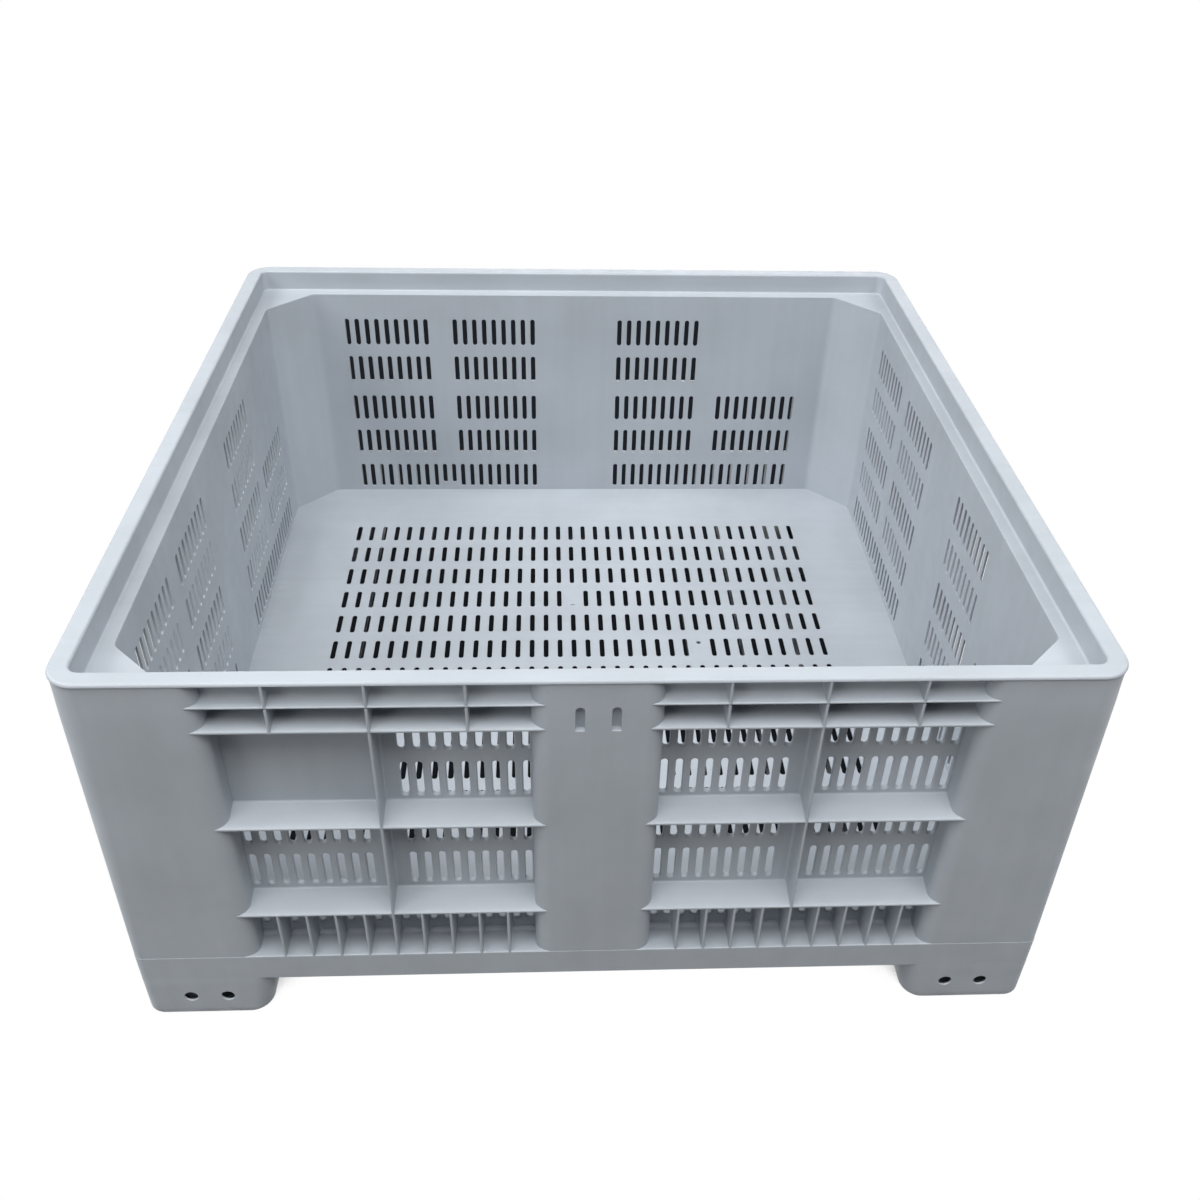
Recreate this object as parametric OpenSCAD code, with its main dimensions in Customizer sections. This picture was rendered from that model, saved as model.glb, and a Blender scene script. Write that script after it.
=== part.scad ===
// Vented fruit bin: a square, open-topped box of ribbed and slotted plastic walls,
// carried on a skirted base with four corner feet.
// Origin: on the ground under the middle of the bin. +Z is up and -Y is the front.

/* [Bin] */
// Outside width, left to right
bin_w = 1200; // [1100:10:1300]
// Outside depth, front to back
bin_d = 1200; // [1100:10:1300]
// Overall height, ground to rim
bin_h = 600; // [580:5:800]
// Radius of the outside corners
corner_r = 30; // [26:1:36]

/* [Rim] */
// Width of the raised lip
lip_w = 24; // [20:1:28]
// Height of the lip above the ledge
lip_h = 35; // [25:1:45]
// Thickness of the lip's top
lip_top_t = 5; // [4:0.5:8]
// Thickness of the lip's upright webs
lip_t = 4; // [3:0.5:5]
// Width of the ledge inside the lip
ledge_w = 19; // [15:1:25]
// Thickness of the ledge
ledge_t = 4; // [3:0.5:6]
// Depth of the rebate in the ledge that the lip sits in
rebate_d = 1; // [0.5:0.25:1.5]

/* [Walls] */
// Thickness of the slotted wall panels
panel_t = 4; // [3:0.5:5]
// Leg of the 45 degree panel across each inside corner
corner_cut = 72; // [60:1:90]
// Thickness of ribs, and of flanges and shelves at their outer edges
rib_t = 4; // [3:0.5:6]
// How far the top of a flange or shelf falls from the wall to its outer edge
shelf_fall = 8; // [2:1:12]
// Clear height of the low bay at the outer face, from the base to the lower shelf
low_bay_h = 78; // [72:1:88]
// Clear height of the bay between the two shelves at the outer face
mid_bay_h = 154; // [146:1:164]
// Clear height of the bay between the upper flange and the ledge at the outer face
upper_bay_h = 31; // [22:1:40]
// Flat width of the front of a centre pillar
pillar_w = 117; // [110:1:130]
// Flat width of a corner post, from the bin's corner
post_w = 147; // [140:1:155]
// Radius where a post or pillar turns into the wall recess
return_r = 17; // [12:1:19]
// Wall thickness of posts and pillars
shell_t = 4; // [3:0.5:6]

/* [Vent slots] */
// Width of a wall slot
slot_w = 8; // [6:0.5:10]
// Length of a wall slot
slot_len = 50; // [40:1:56]
// Plain strip between the floor and the lowest row of slots
low_slot_sill = 8; // [5:1:12]
// Plain strip between the lowest row of slots and the lower shelf
low_slot_drop = 5; // [3:1:8]
// Spacing of wall slots along the wall
slot_pitch = 18.25; // [17:0.25:20]
// Plain strip between two rows of slots in one bay
row_gap = 24.5; // [18:0.5:30]
// Width of a floor slot
floor_slot_w = 8; // [6:0.5:10]
// Length of a floor slot
floor_slot_len = 47.5; // [40:0.5:54]
// Spacing of floor slots from left to right
floor_pitch_x = 24.15; // [22:0.05:28]
// Spacing of floor slots from front to back
floor_pitch_y = 72.8; // [68:0.1:80]
// How far the field of floor slots lies towards the front
floor_shift = 10; // [0:1:12]
// Plain border of the floor beside the slots
floor_border = 127; // [110:1:140]

/* [Label pockets] */
// Width of a label pocket
label_w = 10.5; // [8:0.5:16]
// Height of a label pocket
label_h = 34; // [25:1:45]
// Depth of a label pocket
label_depth = 8; // [5:0.5:12]
// Spacing of the two pockets on a pillar
label_pitch = 41; // [30:1:60]
// Solid strip between the pockets and the ledge
label_drop = 1; // [1:0.5:6]

/* [Base] */
// Clear height under the base, for forks
foot_h = 89; // [75:1:110]
// Height of the base skirt
skirt_h = 46; // [38:1:60]
// Thickness of the base skirt
skirt_t = 5; // [4:0.5:7]
// Thickness of the flange on the base
base_flange_t = 4; // [3:0.5:6]
// Height of the floor above the base flange
deck_rise = 14; // [10:1:20]
// Thickness of the floor deck
deck_t = 4; // [3:0.5:6]
// Depth of the ribs under the floor
under_rib_h = 40; // [25:1:48]
// Thickness of the ribs under the floor
under_rib_t = 4; // [3:0.5:6]

/* [Feet] */
// Width of a foot where it meets the base
foot_w = 178; // [165:1:195]
// How far each inner side of a foot slopes in towards the ground
foot_slope = 17; // [8:1:24]
// Radius of a foot's lower edges
foot_r = 28; // [16:1:30]
// Wall thickness of a foot
foot_t = 5; // [4:0.5:8]
// Diameter of a foot's side holes
hole_d = 17.5; // [10:0.5:20]
// Spacing of the two holes in a foot's side
hole_pitch = 49; // [40:1:56]
// Distance of the holes' middle from the bin's corner
hole_set = 86; // [80:1:95]
// Height of the holes above the ground
hole_z = 53; // [45:1:60]

/* [Hidden] */
$fn = 48;
SIDES = ["front", "right", "rear", "left"];
CORNERS = ["front_left", "front_right", "rear_right", "rear_left"];
SIDE_PIECES = ["panel", "flange", "shelf", "ribs", "grille", "pillar"];
CORNER_PIECES = ["post", "web", "foot"];
RING_PIECES = ["rim_lip", "ledge", "floor_deck", "base_frame", "floor_ribs"];

// Colours of the moulded plastic
wall_grey = [0.58, 0.62, 0.66];
rib_grey = [0.66, 0.70, 0.74];
post_grey = [0.53, 0.57, 0.61];
rim_grey = [0.80, 0.83, 0.87];
floor_grey = [0.74, 0.78, 0.82];
base_grey = [0.50, 0.54, 0.58];

// How far a cut runs past a face
overrun = 1;
// Gap between a flange's end and the rounded return beside it, and between the lip and its rebate
mould_gap = 0.3;
// Thickness of a flange at its pointed ends
tip_t = 1;
// Smallest radius of an inside corner
min_r = 2;
// Mitre angle between a wall panel and a corner web
mitre = 22.5;
// Ribs of the top bays stand at every third rib place
top_rib_step = 3;
// Ribs under the floor stand between every fourth slot column
under_rib_step = 4;
// Places of the plain spot and the small hole among the floor slots, by column and row from the rear left
gate_cell = [17, 3];
pin_cell = [26, 5];

half_w = bin_w / 2;
half_d = bin_d / 2;
wall_set = lip_w + ledge_w;
recess_d = wall_set - panel_t;
base_top = foot_h + skirt_h;
base_flange_z = base_top - base_flange_t;
floor_z = base_top + deck_rise;
deck_z = floor_z - deck_t;
ledge_top = bin_h - lip_h;
ledge_z = ledge_top - ledge_t;
low_shelf_z = base_top + low_bay_h;
mid_shelf_z = low_shelf_z + rib_t + mid_bay_h;
flange_z = ledge_z - upper_bay_h - rib_t;
low_slot_len = low_shelf_z - low_slot_drop - floor_z - low_slot_sill;
row_step = slot_len + row_gap;
// Distance from a flange's pointed end to the start of the rounded return
tip_set = sqrt(pow(return_r + mould_gap, 2) - pow(return_r - tip_t, 2));
// Even numbers of floor slot columns and rows that fit inside the plain border
floor_set = wall_set + floor_border;
floor_cols = 2 * floor((half_w - floor_set + (floor_pitch_x - floor_slot_w) / 2) / floor_pitch_x);
floor_rows = 2 * floor((half_d - floor_set + (floor_pitch_y - floor_slot_len) / 2) / floor_pitch_y);

// Length of a side, and the distance of its outer face from the middle of the bin
function side_len(k) = k % 2 == 0 ? bin_w : bin_d;
function side_out(k) = k % 2 == 0 ? half_d : half_w;
// Width of a bay at the outer face, and the place of its middle along the side
function bay_w(k) = side_len(k) / 2 - post_w - pillar_w / 2;
function bay_mid(k) = pillar_w / 2 + bay_w(k) / 2;
// Even number of slots that fit across one bay
function slot_count(k) = 2 * floor((bay_w(k) - 2 * return_r + slot_pitch - slot_w) / slot_pitch / 2);
// Rib places on each side of a bay's middle, one to every second slot
function rib_count(k) = floor((slot_count(k) - 2) / 4);
function rib_x(k, i) = bay_mid(k) + 2 * slot_pitch * i;
// Number of slot rows that fit between two flanges, and the heights of their middles
function row_count(low, high) = max(1, floor((high - low + row_gap) / row_step));
function row_zs(low, high) = [
    for (i = [0 : row_count(low, high) - 1])
        (low + high) / 2 + (i - (row_count(low, high) - 1) / 2) * row_step
];

// Puts a piece on side k: x runs along the side as seen from outside, y runs inwards from the outer face
module on_side(k) {
    rotate([0, 0, 90 * k]) translate([0, -side_out(k), 0]) children();
}

// Draws a piece in the right half of a side and in the left half
module both_halves() {
    children();
    mirror([1, 0, 0]) children();
}

// Puts a piece at corner c: x and y run inwards along the two sides from the outer corner
module at_corner(c) {
    rotate([0, 0, 90 * c]) translate([-side_len(c) / 2, -side_out(c), 0]) children();
}

// Draws an outline and the same outline with x and y exchanged
module both_legs() {
    children();
    mirror([1, -1, 0]) children();
}

module rounded_rect(w, d, r) {
    square([w - 2 * r, d], center = true);
    square([w, d - 2 * r], center = true);
    for (x = [-1, 1], y = [-1, 1])
        translate([x * (w / 2 - r), y * (d / 2 - r)]) circle(r);
}

// Outer outline of the bin, moved inwards by inset
module bin_outline(inset) {
    rounded_rect(bin_w - 2 * inset, bin_d - 2 * inset, max(corner_r - inset, min_r));
}

// Inside of the walls, an oblong with cut corners, moved outwards by grow
module inside_outline(grow) {
    x = half_w - wall_set + grow;
    y = half_d - wall_set + grow;
    cut = corner_cut + grow * (2 - sqrt(2));
    polygon([
        [x - cut, y], [cut - x, y], [-x, y - cut], [-x, cut - y],
        [cut - x, -y], [x - cut, -y], [x, cut - y], [x, y - cut]
    ]);
}

module slot(w, len) {
    square([w, len - w], center = true);
    for (end = [-1, 1])
        translate([0, end * (len - w) / 2]) circle(d = w);
}

// Plate drawn upright: its outline is seen from outside and its thickness runs inwards from y
module upright_plate(y, t) {
    translate([0, y + t, 0]) rotate([90, 0, 0]) linear_extrude(t) children();
}

// Slots of one half of a side. Rows run upwards; skip_mid leaves the two middle columns plain,
// and skip_outer leaves the columns beyond the bay's middle plain.
module slot_rows(k, zs, len, skip_mid, skip_outer) {
    mid = (slot_count(k) - 1) / 2;
    for (i = [0 : slot_count(k) - 1])
        if (!(skip_mid && abs(i - mid) < 1) && !(skip_outer && i > mid))
            for (z = zs)
                translate([bay_mid(k) + (i - mid) * slot_pitch, z]) slot(slot_w, len);
}

module panel(k) {
    len = side_len(k) - 2 * (wall_set + corner_cut);
    low_z = low_shelf_z - low_slot_drop - low_slot_len / 2;
    mid_zs = row_zs(low_shelf_z + rib_t + shelf_fall, mid_shelf_z);
    high_zs = row_zs(mid_shelf_z + rib_t + shelf_fall, flange_z);
    color(wall_grey) on_side(k) upright_plate(recess_d, panel_t) difference() {
        translate([-len / 2, floor_z]) square([len, ledge_z - floor_z]);
        both_halves() slot_rows(k, [low_z], low_slot_len, false, false);
        both_halves() slot_rows(k, mid_zs, slot_len, true, false);
        slot_rows(k, high_zs, slot_len, true, false);
        mirror([1, 0, 0]) slot_rows(k, high_zs, slot_len, true, true);
    }
}

// Plan of a flange or shelf in one bay, with pointed ends that follow the rounded returns
module bay_plan(k) {
    difference() {
        translate([pillar_w / 2 + tip_set, 0]) square([bay_w(k) - 2 * tip_set, recess_d]);
        for (turn = [0, 1])
            translate([bay_mid(k), 0]) mirror([turn, 0, 0]) translate([-bay_w(k) / 2, return_r]) {
                circle(return_r + mould_gap);
                square([return_r + mould_gap, recess_d]);
            }
    }
}

// Bar drawn in cross-section: y runs inwards and z upwards, and its length runs along the side
module cross_bar(len) {
    rotate([90, 0, 90]) linear_extrude(len) children();
}

// Flange or shelf in one bay, with a level underside at z and a top that falls outwards
module bay_plate(k, z) {
    root_t = rib_t + shelf_fall;
    intersection() {
        translate([0, 0, z]) linear_extrude(root_t) bay_plan(k);
        cross_bar(side_len(k) / 2)
            polygon([[0, z], [recess_d, z], [recess_d, z + root_t], [0, z + rib_t]]);
    }
}

// One upright rib at rib place i of a bay: its lower edge rises from z at the outer face
// to z + rise at the wall
module rib(k, i, z, rise, top) {
    translate([rib_x(k, i) - rib_t / 2, 0, 0]) cross_bar(rib_t)
        polygon([[0, z], [recess_d, z + rise], [recess_d, top], [0, top]]);
}

module flange(k) {
    reach = floor(rib_count(k) / top_rib_step);
    color(rib_grey) on_side(k) both_halves() union() {
        bay_plate(k, flange_z);
        for (i = [-reach : reach])
            rib(k, i * top_rib_step, flange_z + rib_t / 2, 0, ledge_z);
    }
}

module shelf(k) {
    color(rib_grey) on_side(k) both_halves() bay_plate(k, mid_shelf_z);
}

module ribs(k) {
    color(rib_grey) on_side(k) both_halves() {
        rib(k, 0, low_shelf_z + rib_t, shelf_fall, mid_shelf_z);
        rib(k, 0, mid_shelf_z + rib_t, shelf_fall, flange_z);
    }
}

module grille(k) {
    color(rib_grey) on_side(k) both_halves() union() {
        bay_plate(k, low_shelf_z);
        for (i = [-rib_count(k) : rib_count(k)])
            rib(k, i, base_top, 0, low_shelf_z + rib_t / 2);
    }
}

// Plan of a centre pillar, moved inwards by inset and reaching depth into the wall
module pillar_plan(inset, depth) {
    translate([-pillar_w / 2, inset]) square([pillar_w, depth - inset]);
    both_halves() translate([pillar_w / 2, return_r]) {
        circle(return_r - inset);
        square([return_r - inset, depth - return_r]);
    }
}

module pillar(k) {
    pad_w = label_pitch + label_w + 2 * shell_t;
    label_z = ledge_z - label_drop - label_h;
    color(post_grey) on_side(k) difference() {
        union() {
            translate([0, 0, base_top]) linear_extrude(ledge_z - base_top) difference() {
                pillar_plan(0, recess_d);
                pillar_plan(shell_t, recess_d + overrun);
            }
            translate([-pad_w / 2, 0, label_z - shell_t])
                cube([pad_w, label_depth + shell_t, ledge_z - label_z + shell_t]);
        }
        both_halves() translate([label_pitch / 2, 0, 0]) upright_plate(-overrun, label_depth + overrun) {
            translate([-label_w / 2, label_z]) square([label_w, label_h - label_w / 2]);
            translate([0, label_z + label_h - label_w / 2]) circle(d = label_w);
        }
    }
}

// What a square corner loses to its rounding: r is the radius, and the corner lies at the origin
module corner_waste(r) {
    difference() {
        square(r);
        translate([r, r]) circle(r);
    }
}

// Square from the bin's outer corner to size, moved inwards by inset from the two outer faces
module corner_square(size, inset) {
    translate([inset, inset]) difference() {
        square(size - inset);
        corner_waste(corner_r - inset);
    }
}

// Plan of a corner post, moved inwards by inset and reaching depth into both walls
module post_plan(inset, depth) {
    end = post_w + return_r - inset;
    difference() {
        corner_square(end, inset);
        translate([depth, depth]) square(end);
        both_legs() translate([end, inset]) mirror([1, 0, 0]) corner_waste(return_r - inset);
    }
}

module post(c) {
    color(post_grey) at_corner(c) translate([0, 0, base_top])
        linear_extrude(ledge_z - base_top) difference() {
            post_plan(0, recess_d);
            post_plan(shell_t, recess_d + overrun);
        }
}

module web(c) {
    end_x = wall_set + corner_cut;
    back_x = end_x - panel_t * tan(mitre);
    color(wall_grey) at_corner(c) translate([0, 0, floor_z])
        linear_extrude(ledge_z - floor_z) polygon([
            [end_x, wall_set], [end_x, recess_d], [back_x, recess_d],
            [recess_d, back_x], [recess_d, end_x], [wall_set, end_x]
        ]);
}

// Ring between the bin's outline and its inside
module wall_ring() {
    difference() {
        bin_outline(0);
        inside_outline(0);
    }
}

module ledge() {
    color(rim_grey) difference() {
        translate([0, 0, ledge_z]) linear_extrude(ledge_t) wall_ring();
        translate([0, 0, ledge_top - rebate_d]) linear_extrude(rebate_d + overrun) difference() {
            bin_outline(-overrun);
            bin_outline(lip_w + mould_gap);
        }
    }
}

// Pockets in the outside of the lip, one between each two ribs of a bay
module lip_pockets(k) {
    depth = lip_w - lip_t;
    reach = floor(rib_count(k) / top_rib_step);
    linear_extrude(lip_h - lip_top_t) difference() {
        translate([pillar_w / 2 + tip_set, -overrun]) square([bay_w(k) - 2 * tip_set, depth + overrun]);
        for (turn = [0, 1])
            translate([bay_mid(k), 0]) mirror([turn, 0, 0]) translate([-bay_w(k) / 2, return_r]) {
                circle(return_r);
                square([return_r, depth]);
            }
        for (i = [-reach : reach])
            translate([rib_x(k, i * top_rib_step) - rib_t / 2, -overrun])
                square([rib_t, depth + 2 * overrun]);
    }
}

// Hollows under the lip's top, over the posts and the pillars
module lip_hollows() {
    linear_extrude(lip_h - lip_top_t) intersection() {
        difference() {
            bin_outline(lip_t);
            bin_outline(lip_w - lip_t);
        }
        union() {
            for (c = [0 : 3]) at_corner(c) both_legs() square([post_w, lip_w]);
            for (k = [0 : 3]) on_side(k) translate([-pillar_w / 2, 0]) square([pillar_w, lip_w]);
        }
    }
}

module rim_lip() {
    color(rim_grey) translate([0, 0, ledge_top]) difference() {
        translate([0, 0, -rebate_d]) linear_extrude(lip_h + rebate_d) difference() {
            bin_outline(0);
            bin_outline(lip_w);
        }
        for (k = [0 : 3]) on_side(k) both_halves() lip_pockets(k);
        lip_hollows();
    }
}

// Middle of a floor slot by column and row, counted from the rear left
function floor_slot_at(col, row) = [
    (col - (floor_cols - 1) / 2) * floor_pitch_x,
    ((floor_rows - 1) / 2 - row) * floor_pitch_y - floor_shift
];

module floor_deck() {
    color(floor_grey) translate([0, 0, deck_z]) linear_extrude(deck_t) difference() {
        inside_outline(panel_t);
        for (col = [0 : floor_cols - 1], row = [0 : floor_rows - 1])
            translate(floor_slot_at(col, row))
                if ([col, row] == pin_cell) circle(d = floor_slot_w);
                else if ([col, row] != gate_cell) slot(floor_slot_w, floor_slot_len);
    }
}

module base_frame() {
    color(base_grey) union() {
        translate([0, 0, foot_h]) linear_extrude(skirt_h) difference() {
            bin_outline(0);
            bin_outline(skirt_t);
        }
        translate([0, 0, base_flange_z]) linear_extrude(base_flange_t) wall_ring();
        translate([0, 0, base_flange_z]) linear_extrude(deck_z - base_flange_z) difference() {
            inside_outline(panel_t);
            inside_outline(0);
        }
        translate([0, 0, foot_h]) linear_extrude(base_flange_t) intersection() {
            bin_outline(0);
            for (c = [0 : 3]) at_corner(c) square(foot_w);
        }
    }
}

// Lines of the ribs under the floor, which run from front to back between the slot columns
module rib_lines() {
    reach = floor((floor_cols / 2 - 1) / under_rib_step);
    for (i = [-reach : reach])
        translate([i * under_rib_step * floor_pitch_x - under_rib_t / 2, -half_d])
            square([under_rib_t, bin_d]);
}

module floor_ribs() {
    low_z = deck_z - under_rib_h;
    color(base_grey) union() {
        translate([0, 0, low_z]) linear_extrude(base_flange_z - low_z) intersection() {
            rib_lines();
            bin_outline(skirt_t);
        }
        translate([0, 0, low_z]) linear_extrude(under_rib_h) intersection() {
            rib_lines();
            inside_outline(0);
        }
    }
}

// Side view of a foot up to top, moved inwards by inset: the outer side is upright, the inner side slopes,
// and the lower edges are rounded
module foot_profile(inset, top) {
    lean = atan(foot_slope / foot_h);
    r = foot_r - inset;
    top_x = foot_w + (top - foot_h) * tan(lean) - inset / cos(lean);
    turn_x = foot_w - (foot_h - foot_r) * tan(lean) - foot_r / cos(lean);
    polygon([
        [inset, top], [inset, foot_r], [foot_r, inset], [turn_x, inset],
        [turn_x + r * cos(lean), foot_r - r * sin(lean)], [top_x, top]
    ]);
    for (x = [foot_r, turn_x])
        translate([x, foot_r]) circle(r);
}

// Body of a foot up to top, moved inwards by inset
module foot_body(inset, top) {
    intersection() {
        upright_plate(-overrun, foot_w + 2 * overrun) foot_profile(inset, top);
        mirror([1, -1, 0]) upright_plate(-overrun, foot_w + 2 * overrun) foot_profile(inset, top);
        linear_extrude(top) corner_square(foot_w + overrun, inset);
    }
}

module foot(c) {
    color(post_grey) at_corner(c) difference() {
        foot_body(0, foot_h);
        foot_body(foot_t, foot_h + overrun);
        both_legs() for (side = [-1, 1])
            translate([hole_set + side * hole_pitch / 2, -overrun, hole_z])
                rotate([-90, 0, 0]) cylinder(d = hole_d, h = foot_t + 2 * overrun);
    }
}

for (k = [0 : 3]) {
    panel(k);
    flange(k);
    shelf(k);
    ribs(k);
    grille(k);
    pillar(k);
    post(k);
    web(k);
    foot(k);
}
rim_lip();
ledge();
floor_deck();
base_frame();
floor_ribs();
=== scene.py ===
"""Looks of the vented fruit bin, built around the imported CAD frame.

Lengths are in millimetres until a mesh is made. A side is drawn as the front wall stands: x runs along it,
y runs inwards from its outer face and z runs upwards. A corner is drawn with x and y running inwards along
its two sides. Both are then turned into place.
"""

import math

import bmesh
import bpy
import numpy as np
from mathutils import Matrix, Vector
from mathutils.geometry import delaunay_2d_cdt


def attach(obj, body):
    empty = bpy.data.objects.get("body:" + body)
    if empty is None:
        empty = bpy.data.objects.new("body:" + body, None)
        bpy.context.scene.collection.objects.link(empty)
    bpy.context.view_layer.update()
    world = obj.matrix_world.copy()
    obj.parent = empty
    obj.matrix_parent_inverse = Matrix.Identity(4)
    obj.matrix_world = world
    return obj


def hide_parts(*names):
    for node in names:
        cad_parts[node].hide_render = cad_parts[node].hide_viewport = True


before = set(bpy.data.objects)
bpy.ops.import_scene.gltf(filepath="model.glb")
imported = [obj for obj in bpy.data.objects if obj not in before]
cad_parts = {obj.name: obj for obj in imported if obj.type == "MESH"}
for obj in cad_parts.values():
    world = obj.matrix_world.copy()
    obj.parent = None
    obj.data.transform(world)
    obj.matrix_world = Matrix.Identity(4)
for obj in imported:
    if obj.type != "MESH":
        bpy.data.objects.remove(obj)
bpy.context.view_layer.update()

SIDES = ["front", "right", "rear", "left"]
CORNERS = ["front_left", "front_right", "rear_right", "rear_left"]
MM = 0.001

# Main sizes, as in the CAD
HALF = 600.0
BIN_H = 600.0
WALL_SET = 43.0
RECESS = 39.0
CORNER_CUT = 72.0
RIB_T = 4.0
SHELF_FALL = 8.0
PILLAR_HALF = 58.5
POST_W = 147.0
RETURN_R = 17.0
BASE_LOW = 89.0
BASE_TOP = 135.0
DECK_Z = 145.0
FLOOR_Z = 149.0
LOW_SHELF_Z = 213.0
MID_SHELF_Z = 371.0
FLANGE_Z = 526.0
LEDGE_Z = 561.0
LEDGE_TOP = 565.0
LIP_W = 24.0

# Vent slots
SLOT_W = 8.0
SLOT_LEN = 50.0
LOW_SLOT_LEN = 51.0
SHORT_SLOT_LEN = 42.0
SLOT_PITCH = 18.25
SLOT_COLS = 20
LOW_ROW = 182.5
MID_ROWS = (260.75, 335.25)
HIGH_ROWS = (417.25, 491.75)
SLOT_EDGE_R = 0.7
BAY_MID = (PILLAR_HALF + HALF - POST_W) / 2

# How much a slot grows in width and length through its plate
WALL_DRAFT = (2.0, 7.0)
FLOOR_DRAFT = (1.5, 11.0)

# Floor slots
FLOOR_SLOT_LEN = 47.5
FLOOR_PITCH_X = 24.15
FLOOR_PITCH_Y = 72.8
FLOOR_SHIFT = 10.0
FLOOR_COLS = 36
FLOOR_ROWS = 12

# The two odd places in the floor, as column and row: a gate mark, and a pin hole
GATE_CELL = (17, 3)
GATE_W = 2.5
GATE_LEN = 8.0
GATE_SHIFT = 19.0
PIN_CELL = (26, 5)
PIN_R = 4.0
PIN_SHIFT = 14.0

# Moulded softness of the edges
EDGE_R = 1.5
FILLET_R = 3.0
FLANGE_COVE_R = 7.0
LEDGE_COVE_R = 13.0
BASE_COVE_R = 6.0
SOFT = 4.0
FACE_SET = 0.4
NOSE_SET = 0.5
RIM_CORNER_R = 38.0
BASE_CORNER_R = 14.0
MIN_RING_R = 3.0
ARC_STEPS = 10

# How far a piece reaches into the next one
BURY = 0.8
LAP = 1.0
DECK_LAP = 3.0

# Half thickness of an upright rib at its nose and its root, as a share of RIB_T
RIB_NOSE_SHARE = 0.44
RIB_ROOT_SHARE = 0.6

# Ribs of a bay: spaces between them in pairs of slots, and how many stand on each side of the middle
TOP_RIBS = (3, 1)
LOW_RIBS = (1, 4)

# Shares of the return's depth at which the end of a shelf follows its curve
RETURN_SHARES = (0.2, 0.35, 0.55, 0.8, 1.0)

# Posts and pillars: heights of their sections, and how their faces lean in under the rim
POST_LEVELS = [
    BASE_TOP - LAP, 180, 240, 300, 360, 420, 480, 530, 545, 555, LEDGE_Z, LEDGE_TOP, 575, 585, 590, 596,
]
LEAN_FROM = 545.0
LEAN_RISE = 45.0
LEAN = 0.9
POST_GAP = 0.5
POST_LIP_GAP = 3.0

# Label pockets: a flare is pairs of a depth and the growth there
LABEL_SET = 20.5
LABEL_HALF_W = 5.2
LABEL_LOW = FLANGE_Z + 0.5
LABEL_HIGH = FLANGE_Z + 35.0
LABEL_FLARE = ((-2.0, 1.4), (1.2, 0.2), (8.0, -0.3))

# Inside corner panels
WEB_BEND = 7.0
WEB_LIFT = 0.15
WEB_SET = 2.0

# Feet
FOOT_W = 178.0
FOOT_SLOPE = 17.0
FOOT_R = 28.0
FOOT_T = 5.0
FOOT_INNER_R = 25.0
FOOT_TOP = BASE_LOW + 9.0
FOOT_LEVELS = ((45, 0.0), (60, 0.0), (75, 0.0), (BASE_LOW - 2, -0.2), (FOOT_TOP, 0.6))
FOOT_INNER_LEVELS = (60, FOOT_TOP)
FOOT_STEPS = 8
HOLE_R = 8.75
HOLE_SET = 86.0
HOLE_PITCH = 49.0
HOLE_Z = 53.0
HOLE_STEPS = 32
HOLE_FLARE = ((-2.0, 2.0), (0.8, 0.0), (2.4, 0.0), (FOOT_T + 2.0, 4.6))

# Rim lip and ledge
LIP_OUTER_R = 4.0
LIP_INNER_R = 3.5
LIP_FOOT_R = 3.0
LIP_FOOT = LIP_W + 3.6
LIP_WEB = LIP_W - 4.5
LIP_UNDER = 595.0
LIP_UNDER_EDGE = [(LIP_WEB, LIP_UNDER - 4.0), (LIP_W - 8.0, LIP_UNDER), (1.6, LIP_UNDER), (0.3, 595.6)]
LIP_RIB_DEPTH = LIP_W - 5.0
LEDGE_CORNER_R = 16.0
LEDGE_EDGE_R = 1.7
LEDGE_INSET = LIP_W - 2.0
LEDGE_NOSE_Z = LEDGE_Z + 2.0
LEDGE_NOSE_T = 3.0

# Floor deck and base
DECK_CORNER_R = 1.0
BASE_FLANGE_T = 4.0
SKIRT_T = 5.0
SKIRT_INNER_R = 2.0
SKIRT_OUTER_R = 2.5
UPSTAND_GAP = 0.5
COVER_SET = 6.0
COVER_LOW = BASE_LOW + 0.5
COVER_HIGH = BASE_LOW + 4.0

# Meshes
CDT_EPSILON = 1e-6
WELD_M = 2e-6
SHARP_ANGLE = 40.0
FLAT_WEIGHT = 100

# Plastic, and the stretch of its flow streaks along x, y and z
PLASTIC = (0.40, 0.435, 0.475)
PALE_GAIN = 1.35
UP_STREAKS = (45, 45, 2.5)
LONG_STREAKS = (3, 60, 60)
RUB_STREAKS = (9, 160, 160)

# Stage, in metres and watts
SKY_STRENGTH = 0.06
SKY_COLOUR = (0.97, 0.985, 1.0, 1)
WHITE = (1, 1, 1, 1)
LAMP_AIM = (0, 0, 0.4)
LAMP_SIZE = 2.6
LAMPS = {
    "front box": ((0, -3.0, 6.0), 166),
    "top left box": ((-1.5, -1.5, 6.0), 116),
    "front left box": ((-4.5, -4.0, 3.5), 92),
    "front right box": ((3.0, -2.5, 5.0), 95),
    "left box": ((-4.0, 0, 4.0), 170),
    "right box": ((4.0, 0, 4.0), 97),
    "rear fill": ((0.6, 5.0, 1.2), 60),
}
FLOOR_HALF_MM = 20000
FLOOR_COLOUR = (0.12, 0.12, 0.12, 1)
# Painted floor shade: camera rays see the floor white, darkened towards this colour by ambient occlusion
# and by a painted patch under the bin
SHADE_COLOUR = (0.008, 0.009, 0.011, 1)
SHADE_REACH = 0.3
SHADE_SAMPLES = 32
SHADE_FULL = 0.06
SHADE_NONE = 0.2
# Painted shadow under the bin: how dark it goes, and where it fades out at the sides, rear and front, in
# metres
PAINTED_SHADOW_DEPTH = 0.6
PAINTED_SHADOW_SIDES = (0.59, 0.64)
PAINTED_SHADOW_REAR = (0.61, 0.66)
PAINTED_SHADOW_FRONT = (-0.5, -0.4)
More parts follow.
